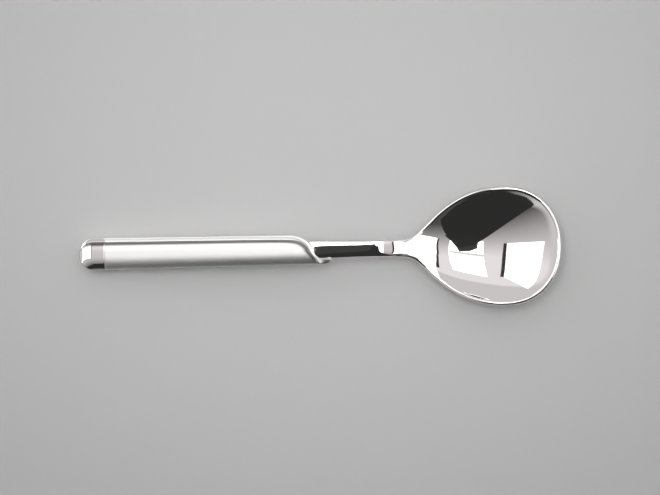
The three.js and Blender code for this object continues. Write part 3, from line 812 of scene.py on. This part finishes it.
# Corners as seen from the bowl: millimetres along and across for each millimetre up
TABLE_LIGHT = [(-0.3, -0.05), (0.3, -0.05), (0.3, 0.35), (-0.3, 0.35)]
OVERHEAD = [(0.46, -0.3), (-0.18, -0.15), (-0.16, 1.24), (0.55, 1.03)]
OVERHEAD_CROSSBAR = [(0.46, 0.12), (-0.18, 0.24), (-0.18, 0.33), (0.46, 0.21)]
REAR_BOX = [(-0.61, -0.07), (-0.5, 1.12), (-1.11, 1.9), (-1.68, -0.1)]
REAR_BAR = [(-0.54, -0.07), (-0.42, 1.14), (-0.5, 1.12), (-0.61, -0.07)]
FRONT_BOX = [
    (0.82, -0.4), (0.82, 0.2), (0.92, 0.6), (1.12, 1.12),
    (1.6, 2.4), (4, 3), (4, -2.5), (1.9, -1.1),
]
FRONT_BAR = [
    (0.77, -0.38), (0.76, 0.2), (0.85, 0.6), (1, 1.1),
    (1.12, 1.12), (0.92, 0.6), (0.82, 0.2), (0.82, -0.4),
]
HIGH_FLAG = [(0.25, 0.16), (0.05, 0.15), (-0.09, 0.06), (-0.12, -0.5), (0.65, -0.5), (0.34, -0.1)]
LOW_FLAG = [
    (0.27, 0.05), (-0.05, -0.05), (-1.28, -1.5), (-0.95, -4), (-0.57, -16), (-0.2, -30),
    (3, -30), (2.4, -9), (1.5, -3.5), (1.24, -1.84), (0.68, -0.66),
]
WHITE = (1, 1, 1, 1)
PALE_GREEN = (0.98, 1, 0.99, 1)
PALE_ROSE = (1, 0.97, 0.98, 1)


def glow(name, colour, strength):
    """Even light from a panel."""
    material, nodes = new_material(name)
    light = nodes.add("ShaderNodeEmission", {}, {"Color": colour, "Strength": strength})
    nodes.add("ShaderNodeOutputMaterial", {}, {"Surface": light})
    return material


def panel(name, corners, height, material):
    """A level panel of the studio, its corners given as seen from the bowl."""
    bowl_at = FLOOR_AT - LENGTH / 2
    sheet = flat_sheet(name, [(bowl_at + x * height, y * height, height) for x, y in corners], material)
    sheet.visible_camera = False
    return sheet


TABLE_LAMP = glow("table_lamp", PALE_GREEN, strength=12.7)
OVERHEAD_LIGHT = glow("overhead_light", WHITE, strength=4.2)
BOX_LIGHT = glow("box_light", WHITE, strength=2.0)
GREY_FRAME = glow("grey_frame", PALE_ROSE, strength=0.8)
BLACK_FRAME = glow("black_frame", WHITE, strength=0.04)
DARK_FLAG = glow("dark_flag", WHITE, strength=0.05)
BLACK_FLAG = glow("black_flag", WHITE, strength=0.028)
panel("table_light", TABLE_LIGHT, LIGHT_HEIGHT, TABLE_LAMP).visible_glossy = False
mirrored_lights = [
    panel("overhead_panel", OVERHEAD, LIGHT_HEIGHT, OVERHEAD_LIGHT),
    panel("rear_soft_box", REAR_BOX, LIGHT_HEIGHT, BOX_LIGHT),
    panel("front_soft_box", FRONT_BOX, LIGHT_HEIGHT, BOX_LIGHT),
]
for light in mirrored_lights:
    light.visible_diffuse = False
panel("overhead_crossbar", OVERHEAD_CROSSBAR, FRAME_HEIGHT, GREY_FRAME)
panel("rear_frame_bar", REAR_BAR, FRAME_HEIGHT, BLACK_FRAME)
panel("front_frame_bar", FRONT_BAR, FRAME_HEIGHT, BLACK_FRAME)
flags = [
    panel("high_flag", HIGH_FLAG, HIGH_FLAG_HEIGHT, DARK_FLAG),
    panel("low_flag", LOW_FLAG, LOW_FLAG_HEIGHT, BLACK_FLAG),
]
for flag in flags:
    flag.visible_diffuse = False
    flag.visible_shadow = False

# Tones of the walls: how far a direction leans at the darkest and the lightest place, and the colours there
UPPER_WALL = [(-0.68, (0.08, 0.078, 0.08, 1)), (0.28, (0.9, 0.865, 0.875, 1))]
LOWER_WALL = [(-0.85, (0.08, 0.078, 0.08, 1)), (-0.3, (0.66, 0.645, 0.65, 1))]
LOWER_AXIS = (-0.5, 0.87, 0)  # towards which the lower wall lightens
LEDGE = (0.43, 0.47)  # how steeply a direction rises, from the lower wall to the upper
# Sockets of a Mix node for colours, by number because its other kinds have the same names
MIX_FACTOR = 0
MIX_FIRST = 6
MIX_SECOND = 7
MIX_RESULT = 2


def wall_tone(nodes, lean, tones):
    """Tone of one of the room's walls, even between its darkest and its lightest place."""
    (darkest_at, dark), (lightest_at, light) = tones
    share = share_between(nodes, lean, darkest_at, lightest_at)
    return nodes.add("ShaderNodeValToRGB", {"stops": [(0, dark), (1, light)]}, {"Fac": share})


room = bpy.data.worlds.new("room")
room.use_nodes = True
room.node_tree.nodes.clear()
sky = Wire(room.node_tree)
direction = sky.add("ShaderNodeTexCoord", {}, {}, output="Generated")
lean = sky.add("ShaderNodeSeparateXYZ", {}, {"Vector": direction}, output="Y")
rise = sky.add("ShaderNodeSeparateXYZ", {}, {"Vector": direction}, output="Z")
above = share_between(sky, rise, *LEDGE)
dot = {"operation": "DOT_PRODUCT"}
low_lean = sky.add("ShaderNodeVectorMath", dot, {0: direction, 1: LOWER_AXIS}, output="Value")
walls = {
    MIX_FACTOR: above,
    MIX_FIRST: wall_tone(sky, low_lean, LOWER_WALL),
    MIX_SECOND: wall_tone(sky, lean, UPPER_WALL),
}
tone = sky.add("ShaderNodeMix", {"data_type": "RGBA"}, walls, output=MIX_RESULT)
background = sky.add("ShaderNodeBackground", {}, {"Color": tone})
sky.add("ShaderNodeOutputWorld", {}, {"Surface": background})
bpy.context.scene.world = room

# Camera
# Straight above the spoon, a little way along it, and turned by the small angle at which the spoon lies. Its
# lens takes in the picture's width at the height of the table.
CAMERA_HEIGHT = 600
CAMERA_AT = (3.08, 0.6)  # along and across
CAMERA_TURN = -1.2  # degrees
PICTURE_WIDTH = 194.1  # millimetres of the table across the picture
camera_data = bpy.data.cameras.new("camera")
camera_data.lens = camera_data.sensor_width * CAMERA_HEIGHT / PICTURE_WIDTH
camera = bpy.data.objects.new("camera", camera_data)
camera.location = (CAMERA_AT[0] * MM, CAMERA_AT[1] * MM, CAMERA_HEIGHT * MM)
camera.rotation_euler = (0, 0, np.radians(CAMERA_TURN))
bpy.context.scene.collection.objects.link(camera)
bpy.context.scene.camera = camera
bpy.context.scene.view_settings.view_transform = "Standard"
